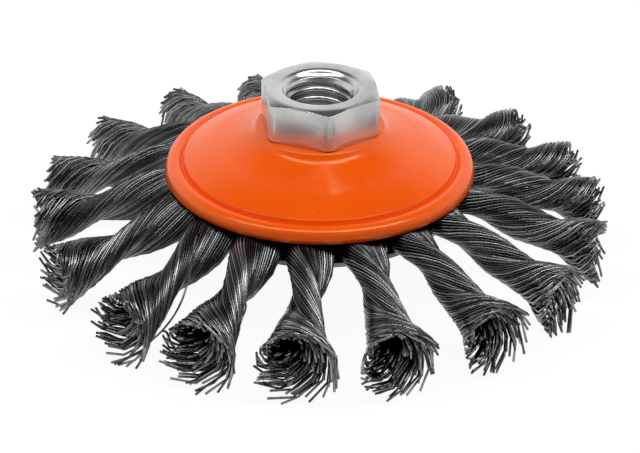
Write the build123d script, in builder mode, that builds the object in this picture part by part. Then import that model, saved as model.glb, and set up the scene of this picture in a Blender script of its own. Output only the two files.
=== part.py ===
from build123d import *
from math import atan2, cos, pi, radians, sin, tan
import os

os.makedirs("parts", exist_ok=True)

# Twist knot wire brush of the bevel kind, for the threaded spindle of an angle grinder.
# Millimetres, +Z up along the spindle. The origin is on the axis at the foot of the countersink,
# where the thread of the hub nut starts, so the rest of the brush hangs below it.

# Hub nut: a hexagon with a spigot that holds the stack of pressings
nut_across_flats = 22.0
nut_height = 8.3
nut_corner_rounding = 0.8
nut_face_inset = 0.5
nut_chamfer_angle = 17.0
nut_foot_overhang = 0.6
nut_foot_angle = 22.0
nut_corner_angle = -81.5
thread_minor_radius = 5.92
countersink_width = 1.88
countersink_depth = 2.4
thread_exit_chamfer = 0.8
spigot_wall = 2.08
lip_width = 0.7
lip_height = 1.6

# Pressed steel cover: raised boss, cone, groove and rolled bead
cover_sheet = 1.2
cover_radius = 30.65
boss_bend_radius = 0.9
boss_step_width = 0.8
boss_step_height = 1.3
cone_angle = 22.0
rim_width = 3.65
groove_side = 0.3
groove_depth = 0.7
bead_radius = 1.8
bead_start_angle = 120.0
bead_skirt = 0.7

# Disc that the knots are tied to, and the plate that closes the stack from below
spigot_fit = 0.05
nest_clearance = 0.1
disc_sheet = 1.5
disc_inset = 5.05
hole_edge = 2.2
hole_bridge = 1.55
hole_inset = 0.8
knot_hole_sides = 10
plate_sheet = 1.2
plate_lap = 1.4
plate_turn_width = 2.7

# Wire knots: a bundle of wires folded through its hole and twisted on itself
knot_count = 18
first_knot_angle = -93.0
knot_slope = 17.5
brush_radius = 57.5
seat_clearance = 0.3
wire_clearance = 0.1
hole_clearance = 0.2
neighbour_gap = 0.6
root_gap = 0.8
leg_thickness = 2.6
leg_end_thickness = 1.95
leg_gap = 0.55
leg_overlap = 2.6
root_height = 5.5
root_squareness = 2.6
root_widening = 1.16
root_widening_place = 0.16
strand_radius = 2.6
strand_offset = 1.25
valley_depth = 0.4
parting_place = 0.12
waist_place = 0.58
twist_angle = -325.0
twist_power = 1.45
flare_power = 1.35
ragged_depth = 0.9
cup_depth = 5.5
cup_power = 1.2
cup_wall_share = 0.42
cup_floor_share = 0.25
cup_side = -0.22
cup_rise = 0.26

# The knots towards the splay angle have frayed wider than those on the far side
splay_angle = -90.0
wide_tuft_width = 16.4
narrow_tuft_width = 8.2
tall_tuft_height = 15.2
low_tuft_height = 10.6

# Sideways lean of each knot from its root, in degrees, counter-clockwise from the first knot
knot_leans = (-2, -3, -2, -3, -1, -2, -7, -8, -10, -7, -4, -6, -4, -2, -4, -2, 4, 0)

# Degrees that each knot bends up towards its tip, in the same order
knot_bends = (1, 0, 0, 0, 0, 0, 0, 0, 0, 0, 0, 0, 0, 0, 4, 0, -1, 0)

# Heights of the stack at the hub, from the top down
nut_top = countersink_depth
cover_top = nut_top - nut_height
disc_top = cover_top - cover_sheet
plate_top = disc_top - disc_sheet
lip_top = plate_top - plate_sheet
hub_bottom = lip_top - lip_height

# The spigot passes through the stack, and the bosses of plate, disc and cover nest round its lip
spigot_radius = thread_minor_radius + spigot_wall
spigot_hole_radius = spigot_radius + spigot_fit
lip_radius = spigot_radius + lip_width
disc_boss_radius = lip_radius + plate_sheet + disc_sheet + nest_clearance
boss_radius = disc_boss_radius + nest_clearance + cover_sheet

# Disc: it ends inside the cover, and its holes share the pitch of the knots with their bridges
disc_radius = cover_radius - disc_inset
pitch_share = sin(pi / knot_count)
knot_hole_circle = (disc_radius - hole_edge + hole_bridge / 2) / (1 + pitch_share)
knot_hole_radius = knot_hole_circle * pitch_share - hole_bridge / 2
disc_flange_radius = knot_hole_circle - knot_hole_radius - hole_inset

# Cover: its cone starts at the foot of the boss, and the bead hangs from the groove
groove_radius = cover_radius - rim_width
cone_slope = tan(radians(cone_angle))
cone_radius = boss_radius + boss_step_width
cone_drop = cover_sheet / cos(radians(cone_angle))
bead_centre = cover_radius - bead_radius
bead_start = radians(bead_start_angle)
bead_start_radius = bead_centre + bead_radius * cos(bead_start)


def cone_height(radius):
    """Height of the cover's outer cone at a radius."""
    return cover_top - boss_step_height - (radius - cone_radius) * cone_slope


groove_floor = cone_height(groove_radius) - groove_depth
bead_height = groove_floor - bead_radius * sin(bead_start)
skirt_bottom = bead_height - bead_skirt
skirt_radius = cover_radius - cover_sheet

# Knots: their roots hang clear of the cone and of the skirt of the bead, whichever is lower
slope = tan(radians(knot_slope))
root_radius = disc_radius + root_gap
half_stack = disc_sheet / 2 + wire_clearance + leg_thickness
height_under_cone = cone_height(disc_radius) - cone_drop - half_stack
height_under_skirt = skirt_bottom - root_height / 2 + (skirt_radius - root_radius) * slope
knot_height = min(height_under_cone, height_under_skirt) - seat_clearance
root_width = 2 * root_radius * pitch_share - neighbour_gap
knot_reach = brush_radius - ragged_depth - root_radius
leg_width = 2 * knot_hole_circle * pitch_share - leg_gap


def pressed_outline(points, sheet):
    """Closed outline of a sheet whose upper side follows the points."""
    with BuildLine() as outline:
        Polyline(*points)
        offset(amount=sheet, side=Side.RIGHT, kind=Kind.INTERSECTION, closed=True)
    return outline.edges()


# Hub nut
with BuildPart() as hub_nut:
    with BuildSketch(Plane.XY.offset(nut_top)):
        RegularPolygon(nut_across_flats / 2, 6, major_radius=False, rotation=nut_corner_angle)
    extrude(amount=-nut_height)
    fillet(hub_nut.edges().filter_by(Axis.Z), nut_corner_rounding)
    # The turned outline takes the corners off the hexagon, above and at its foot
    with BuildSketch(Plane.XZ):
        beyond = nut_across_flats
        nut_face_radius = nut_across_flats / 2 - nut_face_inset
        nut_foot_radius = nut_across_flats / 2 + nut_foot_overhang
        top_drop = (beyond - nut_face_radius) * tan(radians(nut_chamfer_angle))
        foot_rise = (beyond - nut_foot_radius) * tan(radians(nut_foot_angle))
        with BuildLine():
            Polyline(
                (0, nut_top),
                (nut_face_radius, nut_top),
                (beyond, nut_top - top_drop),
                (beyond, cover_top + foot_rise),
                (nut_foot_radius, cover_top),
                (0, cover_top),
                close=True,
            )
        make_face()
    revolve(axis=Axis.Z, mode=Mode.INTERSECT)
    # Spigot through the stack, upset into a lip below the plate
    with BuildSketch(Plane.XZ):
        with BuildLine():
            Polyline(
                (0, cover_top),
                (spigot_radius, cover_top),
                (spigot_radius, lip_top),
                (lip_radius, lip_top),
                (lip_radius, hub_bottom),
                (0, hub_bottom),
                close=True,
            )
        make_face()
    revolve(axis=Axis.Z)
    # Threaded hole at the thread's minor diameter, countersunk where the spindle enters
    with BuildSketch(Plane.XZ):
        with BuildLine():
            Polyline(
                (0, nut_top),
                (thread_minor_radius + countersink_width, nut_top),
                (thread_minor_radius, 0),
                (thread_minor_radius, hub_bottom + thread_exit_chamfer),
                (thread_minor_radius + thread_exit_chamfer, hub_bottom),
                (0, hub_bottom),
                close=True,
            )
        make_face()
    revolve(axis=Axis.Z, mode=Mode.SUBTRACT)

hub_nut.part.label = "hub_nut"
export_step(hub_nut.part, "parts/hub_nut.step")

# Upper cover
inner_bead = bead_radius - cover_sheet
inner_bend = cover_sheet * tan(radians(cone_angle / 2))
inner_cone_end = groove_radius - inner_bend
with BuildPart() as upper_cover:
    with BuildSketch(Plane.XZ):
        with BuildLine() as outside:
            Polyline(
                (spigot_hole_radius, cover_top),
                (boss_radius, cover_top),
                (cone_radius, cone_height(cone_radius)),
                (groove_radius, cone_height(groove_radius)),
                (groove_radius + groove_side, groove_floor),
                (bead_start_radius, groove_floor),
            )
            CenterArc((bead_centre, bead_height), bead_radius, 0, bead_start_angle)
            Polyline(
                (cover_radius, bead_height),
                (cover_radius, skirt_bottom),
                (skirt_radius, skirt_bottom),
                (bead_centre, bead_height + inner_bead),
                (groove_radius + groove_side, groove_floor - cover_sheet),
                (inner_cone_end, cone_height(inner_cone_end) - cone_drop),
                (cone_radius - inner_bend, cone_height(cone_radius - inner_bend) - cone_drop),
                (boss_radius - cover_sheet, disc_top),
                (spigot_hole_radius, disc_top),
                (spigot_hole_radius, cover_top),
            )
        make_face()
    revolve(axis=Axis.Z)
    boss_rim = upper_cover.faces().sort_by(Axis.Z)[-1].outer_wire().edges()
    fillet(boss_rim, boss_bend_radius)

upper_cover.part.label = "upper_cover"
export_step(upper_cover.part, "parts/upper_cover.step")

# Knot disc: a deep boss at the hub and a flat flange with one hole for each knot
flange_top = knot_height + disc_sheet / 2
wall_drop = disc_top - flange_top
wall_run = disc_flange_radius - disc_boss_radius
with BuildPart() as knot_disc:
    with BuildSketch(Plane.XZ):
        make_face(
            pressed_outline(
                (
                    (spigot_hole_radius, disc_top),
                    (disc_boss_radius, disc_top),
                    (disc_flange_radius, flange_top),
                    (disc_radius, flange_top),
                ),
                disc_sheet,
            )
        )
    revolve(axis=Axis.Z)
    with BuildSketch(Plane.XY.offset(flange_top)):
        with PolarLocations(knot_hole_circle, knot_count, start_angle=first_knot_angle):
            RegularPolygon(knot_hole_radius, knot_hole_sides)
    extrude(amount=-disc_sheet, mode=Mode.SUBTRACT)

knot_disc.part.label = "knot_disc"
export_step(knot_disc.part, "parts/knot_disc.step")

# Lower plate: it nests in the disc at the hub, with its wall along the disc's, closes on the
# legs of the knots and turns down along them at its rim
wall_angle = atan2(wall_drop, wall_run)
plate_boss_radius = disc_boss_radius - disc_sheet * tan(wall_angle / 2) - nest_clearance
plate_flange_top = knot_height - half_stack - wire_clearance
plate_flange_radius = plate_boss_radius + (plate_top - plate_flange_top) / tan(wall_angle)
plate_radius = disc_radius + plate_lap
plate_bend_radius = plate_radius - plate_turn_width
plate_edge_top = plate_flange_top - plate_turn_width * slope
with BuildPart() as lower_plate:
    with BuildSketch(Plane.XZ):
        make_face(
            pressed_outline(
                (
                    (spigot_hole_radius, plate_top),
                    (plate_boss_radius, plate_top),
                    (plate_flange_radius, plate_flange_top),
                    (plate_bend_radius, plate_flange_top),
                    (plate_radius, plate_edge_top),
                ),
                plate_sheet,
            )
        )
    revolve(axis=Axis.Z)

lower_plate.part.label = "lower_plate"
export_step(lower_plate.part, "parts/lower_plate.step")

# Wire knots. Each is worked out from its root: x outward, y sideways, z up.
stations = (0.0, 0.11, 0.21, 0.31, 0.4, 0.49, 0.57, 0.65, 0.73, 0.8, 0.87, 0.94, 1.0)
strand_angles = (-80, -40, 0, 40, 80)


def blend(start, end, share):
    """Value that is start at share 0 and end at share 1, eased at both ends."""
    share = min(max(share, 0.0), 1.0)
    return start + (end - start) * share * share * (3 - 2 * share)


def twist_at(share):
    """Turn of the strands in radians, quicker towards the tip."""
    return radians(twist_angle) * share**twist_power


def triangle(first, second, third):
    """Flat three-sided face."""
    return Face(Wire.make_polygon([first, second, third]))


def skin(rings):
    """Flat triangles between rings that have as many points each."""
    faces = []
    for near, far in zip(rings, rings[1:]):
        for i in range(len(near)):
            j = (i + 1) % len(near)
            faces.append(triangle(near[i], near[j], far[j]))
            faces.append(triangle(near[i], far[j], far[i]))
    return faces


def bundle_section(share):
    """Outline of the bundle: flat at the root, two round strands side by side from the waist."""
    flat_width = root_width * blend(1, root_widening, share / root_widening_place)
    half = []
    for angle in strand_angles:
        across = strand_offset + strand_radius * cos(radians(angle))
        half.append((across, strand_radius * sin(radians(angle))))
    half.append((0.0, strand_radius - valley_depth))
    ring = []
    for across, up in half:
        course = atan2(up, across)
        width_part = (cos(course) / (flat_width / 2)) ** root_squareness
        height_part = (abs(sin(course)) / (root_height / 2)) ** root_squareness
        flat_size = (width_part + height_part) ** (-1 / root_squareness)
        parted = (share - parting_place) / (waist_place - parting_place)
        size = blend(flat_size, (across * across + up * up) ** 0.5, parted)
        ring.append((size * cos(course), size * sin(course)))
    return ring + [(-y, -z) for y, z in ring]


def twisted_bundle(tuft_width, tuft_height, lean, bend):
    """Two strands wound round each other, from the flat root to the frayed and hollow end."""

    def placed(x, y, z):
        """Point of the section at x, carried along with the knot's slope, lean and bend."""
        bent = x * (x / knot_reach) ** 2 * tan(radians(bend))
        return (x, y + x * tan(radians(lean)), z - x * slope + bent)

    rings = []
    for share in stations:
        past_waist = max(share - waist_place, 0.0) / (1 - waist_place)
        flare = past_waist**flare_power
        turn = twist_at(share)
        ring = []
        for number, (y, z) in enumerate(bundle_section(share)):
            size = (y * y + z * z) ** 0.5
            course = atan2(z, y) + turn
            side = size * cos(course) * (1 - flare) + tuft_width / 2 * cos(course) * flare
            rise = size * sin(course) * (1 - flare) + tuft_height / 2 * sin(course) * flare
            ragged = ragged_depth * (-1) ** number if share == 1 else 0
            ring.append(placed(share * knot_reach + ragged, side, rise))
        rings.append(ring)
    # The hollow of the frayed end, from its rim over the inner side of its wall to its floor
    wall_depth = cup_depth * (1 - cup_wall_share) ** cup_power
    for wall_share, depth in ((cup_wall_share, wall_depth), (cup_floor_share, cup_depth)):
        ring = []
        for y, z in bundle_section(1.0):
            course = atan2(z, y) + twist_at(1.0)
            side = tuft_width * (wall_share / 2 * cos(course) + (1 - wall_share) * cup_side)
            rise = tuft_height * (wall_share / 2 * sin(course) + (1 - wall_share) * cup_rise)
            ring.append(placed(knot_reach - depth, side, rise))
        rings.append(ring)
    faces = skin(rings)
    floor = rings[-1]
    floor_middle = placed(knot_reach - cup_depth, tuft_width * cup_side, tuft_height * cup_rise)
    for i in range(len(floor)):
        faces.append(triangle(floor[i], floor[(i + 1) % len(floor)], floor_middle))
    faces.append(Face(Wire.make_polygon(rings[0])))
    return Solid(Shell(faces))


def eye_ring(inner, outer, half_width):
    """Six-sided section of the folded bundle, between its inner and its outer side."""
    inner_x, inner_z = inner
    outer_x, outer_z = outer
    middle_x = (inner_x + outer_x) / 2
    middle_z = (inner_z + outer_z) / 2
    return [
        (inner_x, -half_width / 2, inner_z),
        (inner_x, half_width / 2, inner_z),
        (middle_x, half_width, middle_z),
        (outer_x, half_width / 2, outer_z),
        (outer_x, -half_width / 2, outer_z),
        (middle_x, -half_width, middle_z),
    ]


def folded_eye():
    """Fold of the bundle: a leg over the disc, down through the hole and back out below it."""
    near = disc_sheet / 2 + wire_clearance
    far = near + leg_thickness
    rim_x = -root_gap - wire_clearance
    hole_x = knot_hole_circle - root_radius
    bundle = knot_hole_radius * cos(pi / knot_hole_sides) - hole_clearance
    flat = bundle * cos(pi / 6)
    deep = disc_sheet / 4
    sunk = leg_overlap * slope
    rings = []
    for side in (1, -1):
        leg = [
            eye_ring(
                (leg_overlap, side * wire_clearance - sunk),
                (leg_overlap, side * leg_end_thickness - sunk),
                bundle,
            ),
            eye_ring((rim_x, side * near), (rim_x, side * far), leg_width / 2),
            eye_ring((hole_x + flat, side * near), (hole_x, side * far), leg_width / 2),
            eye_ring((hole_x + flat, side * deep), (hole_x - flat, side * deep), bundle),
        ]
        rings += leg if side == 1 else leg[::-1]
    faces = skin(rings)
    faces.append(Face(Wire.make_polygon(rings[0])))
    faces.append(Face(Wire.make_polygon(rings[-1])))
    return Solid(Shell(faces))


for number in range(knot_count):
    direction = first_knot_angle + number * 360 / knot_count
    fray = (1 + cos(radians(direction - splay_angle))) / 2
    tuft_width = narrow_tuft_width + fray * (wide_tuft_width - narrow_tuft_width)
    tuft_height = low_tuft_height + fray * (tall_tuft_height - low_tuft_height)
    lean = knot_leans[number % len(knot_leans)]
    bend = knot_bends[number % len(knot_bends)]
    root = Location((0, 0, knot_height), (0, 0, direction)) * Location((root_radius, 0, 0))
    with BuildPart() as wire_knot:
        with Locations(root):
            add(twisted_bundle(tuft_width, tuft_height, lean, bend))
            add(folded_eye())
    node = f"wire_knot_{number + 1:02d}"
    wire_knot.part.label = node
    export_step(wire_knot.part, f"parts/{node}.step")
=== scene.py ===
"""Looks of a knotted conical wire brush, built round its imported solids.

The hub nut gets its thread, the cover its enamel and each knot its single wires.
Lengths are in millimetres until a mesh is made, and the frame is the solids' own.
"""

import logging
from dataclasses import dataclass
from enum import Enum
from typing import Any

import bpy
import numpy as np
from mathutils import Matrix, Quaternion, Vector


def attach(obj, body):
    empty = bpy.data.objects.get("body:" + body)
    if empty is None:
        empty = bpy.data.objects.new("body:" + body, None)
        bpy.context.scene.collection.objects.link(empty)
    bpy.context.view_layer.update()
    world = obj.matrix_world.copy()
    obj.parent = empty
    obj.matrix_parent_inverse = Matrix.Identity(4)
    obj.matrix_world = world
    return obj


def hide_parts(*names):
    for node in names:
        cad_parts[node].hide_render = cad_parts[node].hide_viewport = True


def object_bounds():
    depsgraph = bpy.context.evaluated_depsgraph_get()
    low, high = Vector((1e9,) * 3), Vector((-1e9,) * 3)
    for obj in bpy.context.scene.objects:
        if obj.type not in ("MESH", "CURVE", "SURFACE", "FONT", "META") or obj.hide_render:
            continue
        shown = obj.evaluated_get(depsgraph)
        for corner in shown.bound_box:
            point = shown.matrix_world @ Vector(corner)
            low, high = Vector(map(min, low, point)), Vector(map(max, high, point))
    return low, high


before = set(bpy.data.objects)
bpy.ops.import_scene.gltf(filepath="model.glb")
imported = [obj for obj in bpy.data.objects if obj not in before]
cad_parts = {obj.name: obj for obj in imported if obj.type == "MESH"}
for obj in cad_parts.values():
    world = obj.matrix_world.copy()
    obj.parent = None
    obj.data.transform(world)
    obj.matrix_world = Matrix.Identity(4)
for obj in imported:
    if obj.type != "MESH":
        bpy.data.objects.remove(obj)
solid_box = [list(corner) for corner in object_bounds()]

log = logging.getLogger("wire_brush")
MILLIMETRE = 0.001
BODY = "root"
# A direction that no wire follows, to start the section of a wire from
ASKEW = (0.3, 0.0, 1.0)

Colour = tuple[float, float, float, float]
Span = tuple[float, float]


class Slot(Enum):
    """Material slot names of the record. Nothing in this script gives them to the pieces."""

    COVER = "cover_paint"
    NUT = "nut_zinc"
    WIRE = "knot_wire"


# Shapes


def rounded(corners: np.ndarray, reach: np.ndarray, steps: int) -> np.ndarray:
    """Round the corners of open outlines.

    Each corner becomes a quadratic curve that starts its reach before the corner and ends as far
    after it: (1-t)^2 before + 2t(1-t) corner + t^2 after.

    Args:
        corners: outline points, shape (..., count, 2).
        reach: length taken from both sides of each corner, shape (count,).
        steps: pieces of each curve.

    Returns:
        The outline, shape (..., count * (steps + 1), 2).
    """
    ahead = np.diff(corners, axis=-2)
    ahead = ahead / np.linalg.norm(ahead, axis=-1, keepdims=True)
    leave = np.concatenate([ahead, ahead[..., -1:, :]], axis=-2)
    arrive = np.concatenate([ahead[..., :1, :], ahead], axis=-2)
    size = reach[:, None]
    before = (corners - arrive * size)[..., None, :]
    after = (corners + leave * size)[..., None, :]
    share = np.linspace(0, 1, steps + 1)[:, None]
    curve = (
        (1 - share) ** 2 * before
        + 2 * share * (1 - share) * corners[..., None, :]
        + share**2 * after
    )
    return curve.reshape(*corners.shape[:-2], -1, 2)


def outline(points: list[tuple[Any, Any, float]], steps: int = 4) -> np.ndarray:
    """Round an outline whose points come with their own rounding.

    Args:
        points: radius, height and rounding of each point. A radius or a height may be an array,
            with a number for each column.
        steps: pieces of each rounding.

    Returns:
        Radius and height, shape (rows, 2), or (columns, rows, 2) where a point changes.
    """
    radii = np.stack(np.broadcast_arrays(*[point[0] for point in points]), axis=-1)
    heights = np.stack(np.broadcast_arrays(*[point[1] for point in points]), axis=-1)
    reach = np.array([point[2] for point in points])
    return rounded(np.stack([radii, heights], axis=-1), reach, steps)


def turned(profile: np.ndarray, angles: np.ndarray) -> np.ndarray:
    """Carry a profile round the axis.

    A point of radius r and height z at an angle a goes to (r cos a, r sin a, z).

    Args:
        profile: radius and height, shape (rows, 2), or (columns, rows, 2) where it changes.
        angles: angle of each column in radians.

    Returns:
        Points, shape (columns, rows, 3).
    """
    radius, height = profile[..., 0], profile[..., 1]
    around = angles[:, None]
    return np.stack(
        [radius * np.cos(around), radius * np.sin(around), height + 0 * around], axis=-1
    )


def closed_grid(points: np.ndarray, name: str) -> bpy.types.Object:
    """Make a mesh from a grid that closes on itself both ways.

    Args:
        points: grid in millimetres, shape (columns, rows, 3).
        name: name of the piece.

    Returns:
        The piece, with its faces outwards.
    """
    columns, rows = points.shape[:2]
    index = np.arange(columns * rows).reshape(columns, rows)
    right, up = np.roll(index, -1, axis=0), np.roll(index, -1, axis=1)
    quads = np.stack([index, right, np.roll(right, -1, axis=1), up], axis=-1).reshape(-1, 4)
    return mesh_piece(name, points.reshape(-1, 3), quads)


def mesh_piece(
    name: str, points: np.ndarray, quads: np.ndarray, caps: np.ndarray | None = None
) -> bpy.types.Object:
    """Put points and faces into a new mesh object at the origin.

    Args:
        name: name of the piece.
        points: places in millimetres, shape (count, 3).
        quads: corner numbers of the smooth four-sided faces.
        caps: corner numbers of the flat end faces, if there are any.

    Returns:
        The piece.
    """
    faces = quads.tolist() + ([] if caps is None else caps.tolist())
    mesh = bpy.data.meshes.new(name)
    mesh.from_pydata((points * MILLIMETRE).tolist(), [], faces)
    smooth = np.arange(len(faces)) < len(quads)
    mesh.polygons.foreach_set("use_smooth", smooth)
    mesh.update()
    piece = bpy.data.objects.new(name, mesh)
    bpy.context.scene.collection.objects.link(piece)
    return piece


def wires(
    name: str,
    paths: list[np.ndarray],
    radius: float,
    sides: int,
    tones: np.ndarray,
    along: np.ndarray,
) -> bpy.types.Object:
    """Make round wires along paths.

    At each station the ring is path + radius (cos a n + sin a b), where n is the tangent crossed
    with a fixed direction and b is the tangent crossed with n.

    Args:
        name: name of the piece.
        paths: groups of paths, each of shape (wires, stations, 3).
        radius: radius of a wire.
        sides: sides of a wire.
        tones: one shade between 0 and 1 for each wire, all groups after each other.
        along: share of the length at each station of the longest paths; shorter ones use its end.

    Returns:
        The piece, with its shades in the attribute "tone" and its shares in "along".
    """
    around = 2 * np.pi * np.arange(sides) / sides
    cosine, sine = np.cos(around)[:, None], np.sin(around)[:, None]
    points, quads, caps, counts, shares, start = [], [], [], [], [], 0
    for path in paths:
        count, stations = path.shape[:2]
        tangent = np.gradient(path, axis=1)
        tangent /= np.linalg.norm(tangent, axis=-1, keepdims=True)
        first = np.cross(tangent, ASKEW)
        first /= np.linalg.norm(first, axis=-1, keepdims=True)
        second = np.cross(tangent, first)
        ring = cosine * first[:, :, None] + sine * second[:, :, None]
        points.append((path[:, :, None] + radius * ring).reshape(-1, 3))
        index = start + np.arange(count * stations * sides).reshape(count, stations, sides)
        beside = np.roll(index, -1, axis=2)
        walls = [index[:, :-1], beside[:, :-1], beside[:, 1:], index[:, 1:]]
        quads.append(np.stack(walls, axis=-1).reshape(-1, 4))
        caps += [index[:, 0, ::-1], index[:, -1]]
        counts.append(np.full(count, stations * sides))
        shares.append(np.tile(np.repeat(along[-stations:], sides), count))
        start += index.size
    piece = mesh_piece(name, np.concatenate(points), np.concatenate(quads), np.concatenate(caps))
    for attribute, numbers in (
        ("tone", np.repeat(tones, np.concatenate(counts))),
        ("along", np.concatenate(shares)),
    ):
        piece.data.attributes.new(attribute, "FLOAT", "POINT")
        piece.data.attributes[attribute].data.foreach_set("value", numbers.astype(np.float32))
    return piece


def ease(share: np.ndarray) -> np.ndarray:
    """Return 3s^2 - 2s^3 of a share held between 0 and 1."""
    held = np.clip(share, 0, 1)
    return held * held * (3 - 2 * held)


# Materials


class Value:
    """A number that changes over a surface, for use in Python expressions."""

    def __init__(self, board: "Board", socket: Any) -> None:
        """Keep the node board and the socket that gives the number."""
        self.board = board
        self.socket = socket

    def maths(self, operation: str, *others: Any, swap: bool = False) -> "Value":
        """Add one Math node.

        Args:
            operation: name of the operation.
            others: the other inputs.
            swap: True where this value comes second.

        Returns:
            The result.
        """
        inputs = [self, *others]
        if swap:
            inputs.reverse()
        return self.board.node("ShaderNodeMath", {"operation": operation}, dict(enumerate(inputs)))

    def __add__(self, other: Any) -> "Value":
        """Return the sum."""
        return self.maths("ADD", other)

    __radd__ = __add__

    def __mul__(self, other: Any) -> "Value":
        """Return the product."""
        return self.maths("MULTIPLY", other)

    __rmul__ = __mul__

    def __sub__(self, other: Any) -> "Value":
        """Return the difference."""
        return self.maths("SUBTRACT", other)

    def __rsub__(self, other: Any) -> "Value":
        """Return the difference the other way round."""
        return self.maths("SUBTRACT", other, swap=True)

    def above(self, low: float, high: float) -> "Value":
        """Return 0 below the first number, 1 above the second, and a soft step between them."""
        settings = {"interpolation_type": "SMOOTHSTEP"}
        return self.board.node("ShaderNodeMapRange", settings, {0: self, 1: low, 2: high})


class Board:
    """Node board of a material or of the world."""

    def __init__(self, owner: bpy.types.Material | bpy.types.World) -> None:
        """Start with an empty board.

        Args:
            owner: the material or world that the board belongs to.
        """
        owner.use_nodes = True
        self.owner = owner
        self.tree = owner.node_tree
        self.tree.nodes.clear()

    def node(
        self, kind: str, settings: dict[str, Any], inputs: dict[Any, Any], output: Any = 0
    ) -> Value:
        """Add any node.

        Args:
            kind: type name of the node.
            settings: its properties, set first.
            inputs: number, colour or value for each socket, by its name or its place.
            output: the socket that is returned, by its name or its place.

        Returns:
            The output as a value.
        """
        made = self.tree.nodes.new(kind)
        for key, setting in settings.items():
            setattr(made, key, setting)
        for key, given in inputs.items():
            if isinstance(given, Value):
                self.tree.links.new(given.socket, made.inputs[key])
            else:
                made.inputs[key].default_value = given
        return Value(self, made.outputs[output]) if len(made.outputs) else Value(self, None)

    def place(self) -> Value:
        """Return the place on the piece, in its own frame."""
        return self.node("ShaderNodeTexCoord", {}, {}, "Object")

    def attribute(self, name: str) -> Value:
        """Return a number that the piece's mesh keeps under a name."""
        return self.node("ShaderNodeAttribute", {"attribute_name": name}, {}, "Fac")

    def noise(self, scale: float, detail: float = 2.0, at: Value | None = None) -> Value:
        """Return noise between 0 and 1, from its clouds to a metre, finer layers and place."""
        inputs = {"Vector": at or self.place(), "Scale": scale, "Detail": detail}
        return self.node("ShaderNodeTexNoise", {}, inputs)

    def stretched(self, scale: tuple[float, float, float]) -> Value:
        """Return the place on the piece, scaled by a number along each axis."""
        return self.node("ShaderNodeMapping", {}, {"Vector": self.place(), "Scale": scale})

    def blend(self, share: Value | float, first: Any, second: Any) -> Value:
        """Return the mix of two colours, given to sockets 6 and 7 and taken from output 2."""
        settings = {"data_type": "RGBA"}
        return self.node("ShaderNodeMix", settings, {0: share, 6: first, 7: second}, 2)

    def bump(self, height: Value, distance: float) -> Value:
        """Return the normal of a surface whose height is the value times a distance in metres."""
        inputs = {"Height": height, "Distance": distance, "Strength": 1.0}
        return self.node("ShaderNodeBump", {}, inputs)

    def surface(self, inputs: dict[str, Any]) -> bpy.types.Material:
        """Finish the board with one principled shader.

        Args:
            inputs: number, colour or value for its sockets.

        Returns:
            The material.
        """
        shader = self.node("ShaderNodeBsdfPrincipled", {}, inputs)
        self.node("ShaderNodeOutputMaterial", {}, {"Surface": shader})
        return self.owner


@dataclass(frozen=True)
class Enamel:
    """Glossy stove enamel on the pressed cover."""

    colour: Colour = (0.89, 0.092, 0.0, 1.0)
    thin_colour: Colour = (0.95, 0.11, 0.001, 1.0)
    dust_colour: Colour = (0.95, 0.45, 0.25, 1.0)
    gloss_colour: Colour = (1.0, 0.92, 0.5, 1.0)
    roughness: float = 0.19
    cloud_scale: float = 55.0
    cloud_range: Span = (0.3, 0.7)
    cloud_roughness: float = 0.08
    speck_scale: float = 1500.0
    speck_range: Span = (0.74, 0.8)
    patch_scale: float = 120.0
    patch_range: Span = (0.5, 0.62)
    speck_cover: float = 0.6
    speck_roughness: float = 0.2
    peel_scale: float = 420.0
    peel_share: float = 0.8
    fine_peel_scale: float = 1600.0
    fine_peel_share: float = 0.2
    peel_height: float = 0.00006

    def material(self) -> bpy.types.Material:
        """Build the enamel: cloudy colour, orange peel and a few specks of dust.

        Returns:
            The material.
        """
        board = Board(bpy.data.materials.new("cover_enamel"))
        cloud = board.noise(self.cloud_scale, detail=3.0)
        specks = board.noise(self.speck_scale, detail=1.0).above(*self.speck_range)
        specks = specks * board.noise(self.patch_scale).above(*self.patch_range)
        colour = board.blend(cloud.above(*self.cloud_range), self.colour, self.thin_colour)
        colour = board.blend(specks * self.speck_cover, colour, self.dust_colour)
        peel = board.noise(self.peel_scale) * self.peel_share
        peel = peel + board.noise(self.fine_peel_scale) * self.fine_peel_share
        unevenness = cloud * self.cloud_roughness
        return board.surface(
            {
                "Base Color": colour,
                "Roughness": self.roughness + unevenness + specks * self.speck_roughness,
                "Specular Tint": self.gloss_colour,
                "Normal": board.bump(peel, self.peel_height),
            }
        )


@dataclass(frozen=True)
class ZincPlate:
    """Bright zinc plate on the hub nut."""

    colour: Colour = (0.6, 0.61, 0.6, 1.0)
    dull_colour: Colour = (0.48, 0.49, 0.48, 1.0)
    roughness: float = 0.17
    cloud_scale: float = 160.0
    cloud_range: Span = (0.35, 0.75)
    cloud_roughness: float = 0.12
    line_scale: float = 900.0
    line_stretch: tuple[float, float, float] = (1.0, 1.0, 0.12)
    line_share: float = 0.2
    pit_scale: float = 2400.0
    pit_share: float = 0.8
    grain_height: float = 0.00001

    def material(self) -> bpy.types.Material:
        """Build the plating: cloudy metal with fine pits and drawing lines.

        Returns:
            The material.
        """
        board = Board(bpy.data.materials.new("nut_plating"))
        cloud = board.noise(self.cloud_scale, detail=4.0)
        lines = board.noise(self.line_scale, at=board.stretched(self.line_stretch))
        pits = board.noise(self.pit_scale)
        grain = lines * self.line_share + pits * self.pit_share
        dullness = cloud.above(*self.cloud_range)
        return board.surface(
            {
                "Base Color": board.blend(dullness, self.colour, self.dull_colour),
                "Metallic": 1.0,
                "Roughness": self.roughness + cloud * self.cloud_roughness,
                "Normal": board.bump(grain, self.grain_height),
            }
        )


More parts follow.
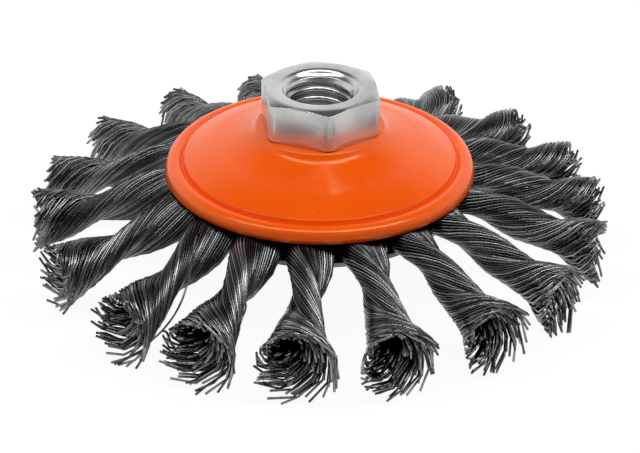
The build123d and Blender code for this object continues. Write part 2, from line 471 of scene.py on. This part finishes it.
@dataclass(frozen=True)
class PressedSheet:
    """Plain pressed steel of the disc and the plate."""

    colour: Colour = (0.2, 0.2, 0.205, 1.0)
    stain_colour: Colour = (0.09, 0.085, 0.08, 1.0)
    roughness: float = 0.34
    cloud_scale: float = 120.0
    cloud_range: Span = (0.4, 0.7)
    cloud_roughness: float = 0.2
    grain_scale: float = 2200.0
    grain_height: float = 0.00003

    def material(self) -> bpy.types.Material:
        """Build the sheet: dark metal with stains and a fine grain.

        Returns:
            The material.
        """
        board = Board(bpy.data.materials.new("sheet_surface"))
        cloud = board.noise(self.cloud_scale, detail=5.0)
        grain = board.noise(self.grain_scale, detail=3.0)
        stain = cloud.above(*self.cloud_range)
        return board.surface(
            {
                "Base Color": board.blend(stain, self.colour, self.stain_colour),
                "Metallic": 1.0,
                "Roughness": self.roughness + cloud * self.cloud_roughness,
                "Normal": board.bump(grain, self.grain_height),
            }
        )


@dataclass(frozen=True)
class DrawnWire:
    """Hard drawn steel wire, darkened by its heat treatment."""

    light_colour: Colour = (0.29, 0.295, 0.3, 1.0)
    dark_colour: Colour = (0.022, 0.022, 0.023, 1.0)
    roughness: float = 0.15
    least_shade: float = 0.12
    tone_share: float = 0.65
    stain_scale: float = 260.0
    stain_share: float = 0.15
    # Painted light: the colour grows lighter towards the cut end, to lift the shade inside the
    # tufts
    painted_tip_light_range: Span = (0.75, 1.0)
    painted_tip_light_gain: float = 0.35
    mark_scale: float = 3000.0
    mark_roughness: float = 0.16
    mark_height: float = 0.00002

    def material(self) -> bpy.types.Material:
        """Build the wire: each one has its own shade, with stains and marks.

        Towards its cut end it is painted lighter, painted light that lifts the shade inside the
        tufts.

        Returns:
            The material.
        """
        board = Board(bpy.data.materials.new("wire_surface"))
        tone = board.attribute("tone")
        stain = board.noise(self.stain_scale, detail=3.0)
        marks = board.noise(self.mark_scale)
        # Painted light: lighter over the last stretch before the cut end, lifting the shade inside
        # the tufts
        painted_tip_light = board.attribute("along").above(*self.painted_tip_light_range)
        shade = self.least_shade + tone * tone * self.tone_share + stain * self.stain_share
        shade = shade * (1.0 + painted_tip_light * self.painted_tip_light_gain)
        lightness = shade.above(0.0, 1.0)
        return board.surface(
            {
                "Base Color": board.blend(lightness, self.dark_colour, self.light_colour),
                "Metallic": 1.0,
                "Roughness": self.roughness + marks * self.mark_roughness,
                "Normal": board.bump(marks, self.mark_height),
            }
        )


# The brush


@dataclass
class HubNut:
    """Hexagonal nut with its thread, and the spigot that is upset below the stack."""

    top: float = 2.4
    foot: float = -5.9
    lip_top: float = -9.8
    bottom: float = -11.4
    half_flats: float = 11.0
    corner_rounding: float = 1.8
    face_inset: float = 0.5
    chamfer_slope: float = float(np.tan(np.radians(17.0)))
    foot_overhang: float = 0.6
    foot_slope: float = float(np.tan(np.radians(22.0)))
    corner_angle: float = -81.5
    rim_rounding: float = 0.6
    edge_rounding: float = 0.15
    foot_rounding: float = 0.008
    lip_rounding: float = 0.1
    lip_foot_rounding: float = 0.35
    edge_gap: float = 0.02
    minor_radius: float = 5.92
    major_radius: float = 7.0
    pitch: float = 2.0
    crest_share: float = 0.25
    flank_share: float = 0.62
    countersink_width: float = 1.88
    exit_chamfer: float = 0.8
    spigot_radius: float = 8.0
    lip_radius: float = 8.7
    flat_columns: int = 15
    corner_columns: int = 7
    bore_rows: int = 150

    def columns(self) -> np.ndarray:
        """Angles of the columns from a flat's middle, close together at each corner.

        Returns:
            The angles in radians, once round.
        """
        inner = self.half_flats - self.corner_rounding
        bend = np.arctan(inner * np.tan(np.pi / 6) / self.half_flats)
        flat = np.linspace(-bend, bend, self.flat_columns)
        corner = np.linspace(bend, np.pi / 3 - bend, self.corner_columns)[1:-1]
        sector = np.concatenate([flat, corner])
        return (np.arange(6)[:, None] * np.pi / 3 + sector).ravel()

    def hexagon(self, angles: np.ndarray) -> np.ndarray:
        """Distance from the axis to the side of the nut.

        On a flat it is a / cos d. Past the flat's end it is c cos g + sqrt(q^2 - c^2 sin^2 g), the
        far side of a circle of radius q whose centre is c from the axis, g from the ray.

        Args:
            angles: angles from a flat's middle.

        Returns:
            The distances.
        """
        off = np.abs((angles + np.pi / 6) % (np.pi / 3) - np.pi / 6)
        inner = self.half_flats - self.corner_rounding
        centre = inner / np.cos(np.pi / 6)
        gap = np.pi / 6 - off
        under = np.maximum(self.corner_rounding**2 - (centre * np.sin(gap)) ** 2, 0)
        corner = centre * np.cos(gap) + np.sqrt(under)
        on_flat = self.half_flats * np.tan(off) <= inner * np.tan(np.pi / 6)
        return np.where(on_flat, self.half_flats / np.cos(off), corner)

    def outside(self, angles: np.ndarray) -> np.ndarray:
        """Outline of the nut at each angle, over its outside down to the exit of the bore.

        It starts at half the countersink's height, where the bore's wall ends. The chamfers fall
        and rise by their slopes times the side's distance past the face and past the foot.

        Args:
            angles: angles from a flat's middle.

        Returns:
            Radius and height, shape (columns, rows, 2).
        """
        side = self.hexagon(angles)
        face = self.half_flats - self.face_inset
        foot = self.half_flats + self.foot_overhang
        chamfer = self.top - np.maximum(side - face, self.edge_gap) * self.chamfer_slope
        under = self.foot + np.maximum(side - foot, 0.0) * self.foot_slope
        return outline(
            [
                (self.minor_radius + self.countersink_width / 2, self.top / 2, 0.0),
                (self.minor_radius + self.countersink_width, self.top, self.rim_rounding),
                (face, self.top, self.rim_rounding),
                (side, chamfer, self.edge_rounding),
                (side, under + self.edge_gap, self.foot_rounding),
                (np.minimum(side, foot) - self.edge_gap, self.foot, self.foot_rounding),
                (self.spigot_radius, self.foot, 0.0),
                (self.spigot_radius, self.lip_top, 0.0),
                (self.lip_radius, self.lip_top, self.lip_rounding),
                (self.lip_radius, self.bottom, self.lip_foot_rounding),
                (self.minor_radius + self.exit_chamfer, self.bottom, 0.0),
            ]
        )

    def bore(self, angles: np.ndarray) -> np.ndarray:
        """Threaded wall of the bore, from its exit up to half the countersink's height.

        The radius is the largest of the thread's, the countersink's and the exit chamfer's. The
        thread's rises from the minor to the major radius as a V whose phase is height / pitch
        less the turn, with a flat crest a quarter of the pitch wide.

        Args:
            angles: angle of each column.

        Returns:
            Radius and height, shape (columns, rows, 2).
        """
        levels = np.linspace(self.bottom, self.top / 2, self.bore_rows)[1:-1]
        height = levels + 0 * angles[:, None]
        phase = (height / self.pitch - angles[:, None] / (2 * np.pi)) % 1.0
        to_root = np.abs(phase - 0.5) * 2
        vee = np.clip((1 - self.crest_share - to_root) / self.flank_share, 0.0, 1.0)
        thread = self.minor_radius + vee * (self.major_radius - self.minor_radius)
        countersink = self.minor_radius + height * self.countersink_width / self.top
        leaving = self.minor_radius + self.exit_chamfer - (height - self.bottom)
        return np.stack([np.maximum(np.maximum(thread, countersink), leaving), height], axis=-1)

    def build(self) -> bpy.types.Object:
        """Make the nut as one closed grid and dress it.

        Returns:
            The piece.
        """
        angles = self.columns()
        profile = np.concatenate([self.outside(angles), self.bore(angles)], axis=1)
        turn = np.radians(self.corner_angle) + np.pi / 6
        piece = closed_grid(turned(profile[:, ::-1], angles + turn), "hub_nut_threaded")
        return dress(piece, ZincPlate().material(), "hub_nut")


@dataclass
class Cover:
    """Pressed cover: boss, cone, groove and rolled bead."""

    top: float = -5.9
    sheet: float = 1.2
    hole_radius: float = 8.05
    boss_radius: float = 12.8
    step_width: float = 0.8
    step_height: float = 1.3
    slope: float = float(np.tan(np.radians(22.0)))
    radius: float = 30.65
    rim_width: float = 3.65
    groove_side: float = 0.3
    groove_depth: float = 0.7
    crease_depth: float = 0.4
    crease_width: float = 0.45
    bead_radius: float = 1.8
    bead_start: float = float(np.radians(120.0))
    bead_points: int = 22
    skirt: float = 0.7
    inner_inset: float = 0.3
    boss_rounding: float = 0.3
    step_rounding: float = 1.1
    groove_rounding: float = 0.12
    crease_rounding: float = 0.07
    bead_rounding: float = 0.2
    edge_rounding: float = 0.3
    inner_groove_rounding: float = 0.1
    inner_step_rounding: float = 0.4
    outer_steps: int = 6
    columns: int = 240

    def cone(self, radius: float) -> float:
        """Return the height of the outer cone at a radius."""
        cone_foot = self.top - self.step_height
        return cone_foot - (radius - self.boss_radius - self.step_width) * self.slope

    def profile(self) -> np.ndarray:
        """Section of the sheet: along its outside, round its edge and back along its inside.

        The bead is an arc, centre + radius (cos a, sin a), from its start down to its outer side.

        Returns:
            Radius and height, shape (rows, 2).
        """
        groove = self.radius - self.rim_width
        floor = self.cone(groove) - self.groove_depth
        crease = floor - self.crease_depth
        centre = self.radius - self.bead_radius
        level = floor - self.bead_radius * np.sin(self.bead_start)
        bead_foot = centre + self.bead_radius * np.cos(self.bead_start)
        skirt_bottom = level - self.skirt
        cone_foot = self.boss_radius + self.step_width
        middle = 0.5 * (cone_foot + groove)
        upper = outline(
            [
                (self.hole_radius, self.top, 0.0),
                (self.boss_radius, self.top, self.boss_rounding),
                (cone_foot, self.cone(cone_foot), self.step_rounding),
                (middle, self.cone(middle), 0.0),
                (groove, self.cone(groove), self.groove_rounding),
                (groove + self.groove_side, crease, self.crease_rounding),
                (groove + self.crease_width, crease, self.crease_rounding),
                (bead_foot, floor, self.bead_rounding),
            ],
            steps=self.outer_steps,
        )
        arc = np.linspace(self.bead_start, 0.0, self.bead_points)[1:]
        bead = np.stack(
            [centre + self.bead_radius * np.cos(arc), level + self.bead_radius * np.sin(arc)],
            axis=-1,
        )
        drop = self.sheet * np.hypot(1.0, self.slope)
        inner = self.radius - self.sheet
        inner_bead_top = level + (self.bead_radius - self.sheet)
        inner_groove, inner_foot = groove - self.inner_inset, cone_foot - self.inner_inset
        lower = outline(
            [
                (self.radius, skirt_bottom, self.edge_rounding),
                (inner, skirt_bottom, self.edge_rounding),
                (inner, level, self.bead_rounding),
                (centre, inner_bead_top, self.bead_rounding),
                (groove + self.groove_side, floor - self.sheet, self.inner_groove_rounding),
                (inner_groove, self.cone(inner_groove) - drop, self.inner_groove_rounding),
                (inner_foot, self.cone(inner_foot) - drop, self.inner_step_rounding),
                (self.boss_radius - self.sheet, self.top - self.sheet, self.boss_rounding),
                (self.hole_radius, self.top - self.sheet, 0.0),
            ]
        )
        return np.concatenate([upper, bead, lower])

    def build(self) -> bpy.types.Object:
        """Turn the section round the axis and dress it.

        Returns:
            The piece.
        """
        angles = 2 * np.pi * np.arange(self.columns) / self.columns
        piece = closed_grid(turned(self.profile()[::-1], angles), "cover_pressed")
        return dress(piece, Enamel().material(), "upper_cover")


@dataclass
class Knot:
    """One knot: a bundle folded through the disc, twisted, and frayed at its cut end."""

    number: int
    direction: float
    lean: float
    bend: float
    tuft_width: float
    tuft_height: float
    root_radius: float = 26.4
    height: float = -17.66
    slope: float = float(np.tan(np.radians(17.5)))
    reach: float = 30.4
    root_width: float = 8.57
    root_height: float = 5.5
    squareness: float = 2.6
    widening: float = 1.16
    widening_place: float = 0.16
    strand_radius: float = 2.6
    strand_offset: float = 1.25
    parting: float = 0.12
    waist: float = 0.58
    twist: float = float(np.radians(-325.0))
    twist_power: float = 1.45
    ragged: float = 0.9
    cup_depth: float = 5.5
    cup_power: float = 1.2
    flare: float = 1.35
    hollow: float = 0.42
    spread_power: float = 1.8
    least_spread: float = 0.3
    cup_side: float = -0.22
    cup_rise: float = 0.26
    place_jitter: float = 0.25
    spread_jitter: float = 0.05
    fan_jitter: float = 0.08
    bunching: float = 0.12
    bunches: int = 6
    long_ripple: float = 0.05
    long_waves: float = 9.0
    short_ripple: float = 0.04
    short_waves: float = 21.0
    hole_x: float = -5.8
    eye: float = 2.1
    fold_gap: float = 0.05
    leg_gap: float = 0.85
    leg_thickness: float = 2.6
    leg_run: float = 1.6
    leg_narrowing: float = 0.72
    rim_x: float = -1.1
    rim_narrowing: float = 0.77
    floor_gap: float = 0.3
    wire_radius: float = 0.25
    wire_sides: int = 5
    layers: tuple[tuple[float, int], ...] = ((0.0, 30), (0.47, 22), (0.93, 15), (1.4, 9))
    folded_depth: float = 0.9
    seeds_to_a_knot: int = 100
    fold_shares: tuple[float, ...] = (-0.2, -0.14, -0.04)
    root_shares: tuple[float, ...] = (0.0, 0.1, 0.2, 0.29, 0.37, 0.45)
    tip_shares: tuple[float, ...] = (0.52, 0.59, 0.66, 0.73, 0.79, 0.85, 0.9, 0.95, 1.0)

    def layer(self, depth: float, count: int, shares: np.ndarray, seed: int) -> np.ndarray:
        """Paths of the wires that lie equally deep in the two strands.

        A wire r from its strand's middle, at angle a, has the place y = offset + r cos a,
        z = r sin a. Its course is that place's angle seen from the middle of the knot, and its
        fullness is the place's distance over the farthest that a wire can lie on that course. The
        second strand is the first one turned half round.

        At the root the wire lies at its fullness times a rounded rectangle, whose distance on a
        course c is (|cos c / w|^n + |sin c / h|^n)^(-1/n), where w grows over the first stretch.
        From the parting to the waist it eases to its place in the strand. The section turns by
        twist times the share to the twist's power. Past the waist a wire leaves its place p for
        its place q on the cut end: p + (q - p) f, where f is the share past the waist to the
        power flare. The less full a wire is, the shorter it is cut and the nearer it ends to the
        edge of the hollow in the tuft.

        Args:
            depth: depth of the layer below the strand's surface.
            count: wires of the layer in each strand.
            shares: stations along the knot, from root to tip.
            seed: seed of the irregularities.

        Returns:
            Paths in the knot's own frame, shape (2 * count, stations, 3).
        """
        chance = np.random.default_rng(seed)
        total = 2 * count
        strand = np.repeat([0.0, np.pi], count)[:, None]
        angle = np.tile((np.arange(count) + 0.5 * (depth > 0)) * 2 * np.pi / count, 2)[:, None]
        angle = angle + chance.normal(0, self.place_jitter / count, (total, 1))
        deep = self.wire_radius + depth
        wave = chance.uniform(0, 2 * np.pi, (total, 2, 1))

        across = self.strand_offset + (self.strand_radius - deep) * np.cos(angle)
        up = (self.strand_radius - deep) * np.sin(angle)
        waist_size, course = np.hypot(across, up), np.arctan2(up, across)
        limit = self.strand_offset * np.abs(np.cos(course)) + np.sqrt(
            self.strand_radius**2 - (self.strand_offset * np.sin(course)) ** 2
        )
        fullness = np.clip(waist_size / (limit - self.wire_radius), 0, 1)
        uneven = chance.normal(0, self.spread_jitter, (total, 1))
        spread = self.hollow + (1 - self.hollow) * fullness**self.spread_power + uneven
        spread = np.clip(spread, self.least_spread, 1.0)
        cut = 1 - self.cup_depth / self.reach * (1 - spread) ** self.cup_power
        cut = cut + self.ragged / self.reach * chance.uniform(-1.0, 1.0, (total, 1))
        share = shares * cut

        ripple = self.long_ripple * np.sin(self.long_waves * shares * np.pi + wave[:, 0])
        ripple = ripple + self.short_ripple * np.sin(self.short_waves * shares + wave[:, 1])
        turn = self.twist * np.maximum(share, 0) ** self.twist_power
        widened = self.root_width * (1 + (self.widening - 1) * ease(share / self.widening_place))
        half_width = widened / 2 - self.wire_radius
        half_height = self.root_height / 2 - self.wire_radius
        flat_size = fullness * (
            (np.abs(np.cos(course)) / half_width) ** self.squareness
            + (np.abs(np.sin(course)) / half_height) ** self.squareness
        ) ** (-1 / self.squareness)
        parted = ease((share - self.parting) / (self.waist - self.parting))
        size = flat_size + (waist_size - flat_size) * parted + ripple
        heading = course + strand + turn

        past = np.clip((share - self.waist) / (1 - self.waist), 0, None)
        leaving = past**self.flare
        side, rise = size * np.cos(heading), size * np.sin(heading)
        bunched = self.bunching * np.sin(self.bunches * heading)
        heading = heading + (bunched + chance.normal(0, self.fan_jitter, (total, 1))) * past
        wide = self.tuft_width / 2 - self.wire_radius
        tall = self.tuft_height / 2 - self.wire_radius
        middle_side = (1 - spread) * self.cup_side * self.tuft_width
        middle_rise = (1 - spread) * self.cup_rise * self.tuft_height
        goal_side = spread * wide * np.cos(heading) + middle_side
        goal_rise = spread * tall * np.sin(heading) + middle_rise
        side = side + (goal_side - side) * leaving
        rise = rise + (goal_rise - rise) * leaving

        x = share * self.reach
        lean = np.tan(np.radians(self.lean))
        bent = x * share**2 * np.tan(np.radians(self.bend))
        return np.stack([x, side + x * lean, rise - x * self.slope + bent], axis=-1)

    def fold(self, root: np.ndarray) -> np.ndarray:
        """Carry wires inward from the root: over or under the disc and into its hole.

        Args:
            root: first point of each wire, shape (wires, 3).

        Returns:
            Paths from the middle of the hole to just before the root, shape (wires, 3, 3).
        """
        y, z = root[:, 1], root[:, 2]
        side = np.where(z < 0, -1.0, 1.0)
        thick = np.clip(np.abs(z) / (self.root_height / 2), 0, 1)
        level = side * (self.leg_gap + self.leg_thickness * thick)
        narrow = y * self.eye / (self.root_width / 2)
        inner = self.hole_x + self.eye * (1 - 2 * thick)
        hole = np.stack([inner, narrow, self.fold_gap * side], axis=-1)
        leg = np.stack([inner + self.leg_run, y * self.leg_narrowing, level], axis=-1)
        rim = np.stack([self.rim_x + 0 * y, y * self.rim_narrowing, level], axis=-1)
        return np.stack([hole, leg, rim], axis=1)

    def placed(self, path: np.ndarray) -> np.ndarray:
        """Turn points of the knot's own frame round the axis and move them to its root.

        With x measured from the axis, (x, y) goes to (x cos t - y sin t, x sin t + y cos t).

        Args:
            path: points in the knot's own frame, shape (..., 3).

        Returns:
            The points in the brush's frame, none of them nearer the floor than the floor gap.
        """
        turn = np.radians(self.direction)
        lowest = solid_box[0][2] / MILLIMETRE + self.floor_gap
        x = self.root_radius + path[..., 0]
        y = path[..., 1]
        return np.stack(
            [
                x * np.cos(turn) - y * np.sin(turn),
                x * np.sin(turn) + y * np.cos(turn),
                np.maximum(self.height + path[..., 2], lowest),
            ],
            axis=-1,
        )

    def build(self, finish: bpy.types.Material) -> bpy.types.Object:
        """Make the knot's wires in the brush's frame and dress them.

        The outer layers run from the hole to the tip, and the inner ones start near the waist.

        Args:
            finish: the wire's material.

        Returns:
            The piece.
        """
        short = np.array(self.tip_shares)
        whole = np.concatenate([self.root_shares, short])
        groups = []
        for number, (depth, count) in enumerate(self.layers):
            seed = self.seeds_to_a_knot * self.number + number
            if depth < self.folded_depth:
                path = self.layer(depth, count, whole, seed)
                path = np.concatenate([self.fold(path[:, 0]), path], axis=1)
            else:
                path = self.layer(depth, count, short, seed)
            groups.append(self.placed(path))
        chance = np.random.default_rng(self.number)
        tones = chance.uniform(0, 1, sum(len(path) for path in groups))
        name = f"knot_{self.number:02d}_wires"
        along = np.concatenate([self.fold_shares, whole])
        piece = wires(name, groups, self.wire_radius, self.wire_sides, tones, along)
        return dress(piece, finish, f"wire_knot_{self.number:02d}")


@dataclass
class Knots:
    """The ring of knots, frayed wider towards the front.

    Leans and bends are in degrees, from the front knot up the right side and down the left.
    """

    count: int = 18
    first: float = -93.0
    front: float = -90.0
    width: Span = (8.2, 16.4)
    tall: Span = (10.6, 15.2)
    right_leans: tuple[float, ...] = (-2, -3, -2, -3, -1, -2, -7, -8, -10)
    left_leans: tuple[float, ...] = (-7, -4, -6, -4, -2, -4, -2, 4, 0)
    bends: tuple[float, ...] = (1, 0, 0, 0, 0, 0, 0, 0, 0, 0, 0, 0, 0, 0, 4, 0, -1, 0)

    def build(self) -> None:
        """Make each knot with its own lean and fray."""
        finish = DrawnWire().material()
        leans = self.right_leans + self.left_leans
        for number, (lean, bend) in enumerate(zip(leans, self.bends)):
            direction = self.first + number * 360 / self.count
            fray = float(1 + np.cos(np.radians(direction - self.front))) / 2
            width = self.width[0] + fray * (self.width[1] - self.width[0])
            height = self.tall[0] + fray * (self.tall[1] - self.tall[0])
            Knot(number + 1, direction, lean, bend, width, height).build(finish)


@dataclass
class StrayWires:
    """Single wires that have come loose from the knots."""

    radius: float = 0.2
    sides: int = 6
    stations: int = 18
    tone: float = 0.5
    last_share: float = 0.7

    def courses(self) -> np.ndarray:
        """Points that the loose wires' curves are drawn by.

        Returns:
            Four points to a wire, shape (wires, 4, 3).
        """
        long_wire = [(-23, -27, -15.5), (-24.6, -40, -14), (-22, -51, -16.5), (-31.2, -48, -26.8)]
        curl = [(-13.6, -42, -22), (-13, -46.8, -20.5), (-15, -48.6, -22), (-14.8, -48.3, -25)]
        return np.array([long_wire, curl])

    def build(self, finish: bpy.types.Material) -> bpy.types.Object:
        """Carry a round section along a cubic curve for each wire.

        The curve is (1-t)^3 a + 3t(1-t)^2 b + 3t^2(1-t) c + t^3 d for its four points.

        Args:
            finish: the wire's material.

        Returns:
            The piece.
        """
        t = np.linspace(0, 1, self.stations)[None, :, None]
        p = self.courses()[:, :, None]
        path = (
            (1 - t) ** 3 * p[:, 0]
            + 3 * t * (1 - t) ** 2 * p[:, 1]
            + 3 * t**2 * (1 - t) * p[:, 2]
            + t**3 * p[:, 3]
        )
        along = np.linspace(0, self.last_share, self.stations)
        tones = np.full(len(path), self.tone)
        piece = wires("stray_wires", [path], self.radius, self.sides, tones, along)
        return dress(piece, finish)


def dress(
    piece: bpy.types.Object, material: bpy.types.Material, node: str | None = None
) -> bpy.types.Object:
    """Give a piece its material and its body, and hide the solid that it stands for.

    Args:
        piece: the new piece.
        material: its material.
        node: the solid that it replaces, if there is one.

    Returns:
        The piece.
    """
    piece.data.materials.append(material)
    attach(piece, BODY)
    if node:
        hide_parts(node)
    log.info("%s: %d faces", piece.name, len(piece.data.polygons))
    return piece


def dress_sheets() -> None:
    """Give the disc and the plate, whose solids are shown as they are, their material."""
    sheet = PressedSheet().material()
    for node in ("knot_disc", "lower_plate"):
        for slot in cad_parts[node].material_slots:
            slot.material = sheet
        log.info("%s: dressed", node)


# The studio


@dataclass
class Studio:
    """Camera, floor, sky and lamps.

    The camera's places are in millimetres. Its clip, the floor and the lamps are in metres.
    """

    camera_place: tuple[float, float, float] = (0.0, -423.34, 211.43)
    aim: tuple[float, float, float] = (0.14, 0.0, -29.23)
    roll: float = 0.42
    focal_length: float = 135.09
    sensor_width: float = 36.0
    clip: Span = (0.02, 20.0)
    floor_side: float = 2.5
    floor_paint: Colour = (0.4, 0.4, 0.4, 1.0)
    floor_glow: float = 1.14
    glow_share: float = 0.82
    white: Colour = (1.0, 1.0, 1.0, 1.0)
    horizon: float = 1.05
    front_level: float = 0.15
    front_range: Span = (-0.9, -0.1)
    zenith: float = 0.08
    haze_range: Span = (0.45, 0.8)
    lamp_place: tuple[float, float, float] = (0.44, -0.16, 0.9)
    lamp_size: Span = (0.84, 0.26)
    left_radiance: float = 5.7
    right_radiance: float = 7.9

    def camera(self) -> None:
        """Stand the camera where the photograph was taken from."""
        data = bpy.data.cameras.new("camera")
        data.lens = self.focal_length
        data.sensor_width = self.sensor_width
        data.clip_start, data.clip_end = self.clip
        camera = bpy.data.objects.new("camera", data)
        place, aim = Vector(self.camera_place), Vector(self.aim)
        turn = (aim - place).to_track_quat("-Z", "Y")
        camera.rotation_mode = "QUATERNION"
        camera.rotation_quaternion = turn @ Quaternion((0, 0, 1), np.radians(self.roll))
        camera.location = place * MILLIMETRE
        bpy.context.scene.collection.objects.link(camera)
        bpy.context.scene.camera = camera

    def floor(self) -> None:
        """Lay a pale floor under the lowest wires.

        The camera and shiny surfaces see it white but for shadows. Other light meets grey paint.
        """
        side, level = self.floor_side, solid_box[0][2]
        mesh = bpy.data.meshes.new("floor")
        near = [(-side, -side, level), (side, -side, level)]
        far = [(side, side, level), (-side, side, level)]
        mesh.from_pydata(near + far, [], [(0, 1, 2, 3)])
        floor = bpy.data.objects.new("floor", mesh)
        bpy.context.scene.collection.objects.link(floor)
        board = Board(bpy.data.materials.new("floor_paint"))
        seen = board.node("ShaderNodeLightPath", {}, {}, "Is Camera Ray")
        seen = seen + board.node("ShaderNodeLightPath", {}, {}, "Is Glossy Ray")
        paint = board.node("ShaderNodeBsdfDiffuse", {}, {"Color": self.floor_paint})
        glow = {"Color": self.white, "Strength": self.floor_glow}
        white = board.node("ShaderNodeEmission", {}, glow)
        share = seen * self.glow_share
        mixed = board.node("ShaderNodeMixShader", {}, {0: share, 1: paint, 2: white})
        board.node("ShaderNodeOutputMaterial", {}, {"Surface": mixed})
        mesh.materials.append(board.owner)

    def sky(self) -> None:
        """Light all round: white to the camera, else bright at the horizon.

        It is dim overhead and at the front, where the camera stands.
        """
        board = Board(bpy.data.worlds.new("sky"))
        seen = board.node("ShaderNodeLightPath", {}, {}, "Is Camera Ray")
        direction = board.node("ShaderNodeTexCoord", {}, {}, "Generated")
        height = board.node("ShaderNodeSeparateXYZ", {}, {"Vector": direction}, "Z")
        depth = board.node("ShaderNodeSeparateXYZ", {}, {"Vector": direction}, "Y")
        behind = depth.above(*self.front_range)
        around = self.front_level + behind * (self.horizon - self.front_level)
        overhead = height.above(*self.haze_range)
        level = around + overhead * (self.zenith - around)
        strength = level + seen * (1.0 - level)
        light = {"Color": self.white, "Strength": strength}
        shader = board.node("ShaderNodeBackground", {}, light)
        board.node("ShaderNodeOutputWorld", {}, {"Surface": shader})
        bpy.context.scene.world = board.owner

    def lamp(self, name: str, place: tuple[float, float, float], radiance: float) -> None:
        """Hang a soft lamp that looks straight down.

        Its power is pi * length * width * radiance.

        Args:
            name: name of the lamp.
            place: its place in metres.
            radiance: how bright its face is, where 1 is white.
        """
        length, width = self.lamp_size
        data = bpy.data.lights.new(name, "AREA")
        data.shape, data.size, data.size_y = "RECTANGLE", length, width
        data.energy = np.pi * length * width * radiance
        lamp = bpy.data.objects.new(name, data)
        lamp.location = place
        bpy.context.scene.collection.objects.link(lamp)

    def build(self) -> None:
        """Set up the whole studio."""
        self.camera()
        self.floor()
        self.sky()
        x, y, z = self.lamp_place
        self.lamp("left_lamp", (-x, y, z), self.left_radiance)
        self.lamp("right_lamp", (x, y, z), self.right_radiance)
        bpy.context.scene.view_settings.view_transform = "Standard"


def main() -> None:
    """Build the studio and the brush, piece by piece."""
    logging.basicConfig(level=logging.INFO, format="%(name)s %(message)s")
    Studio().build()
    HubNut().build()
    Cover().build()
    dress_sheets()
    Knots().build()
    StrayWires().build(bpy.data.materials["wire_surface"])


if __name__ == "__main__":
    main()
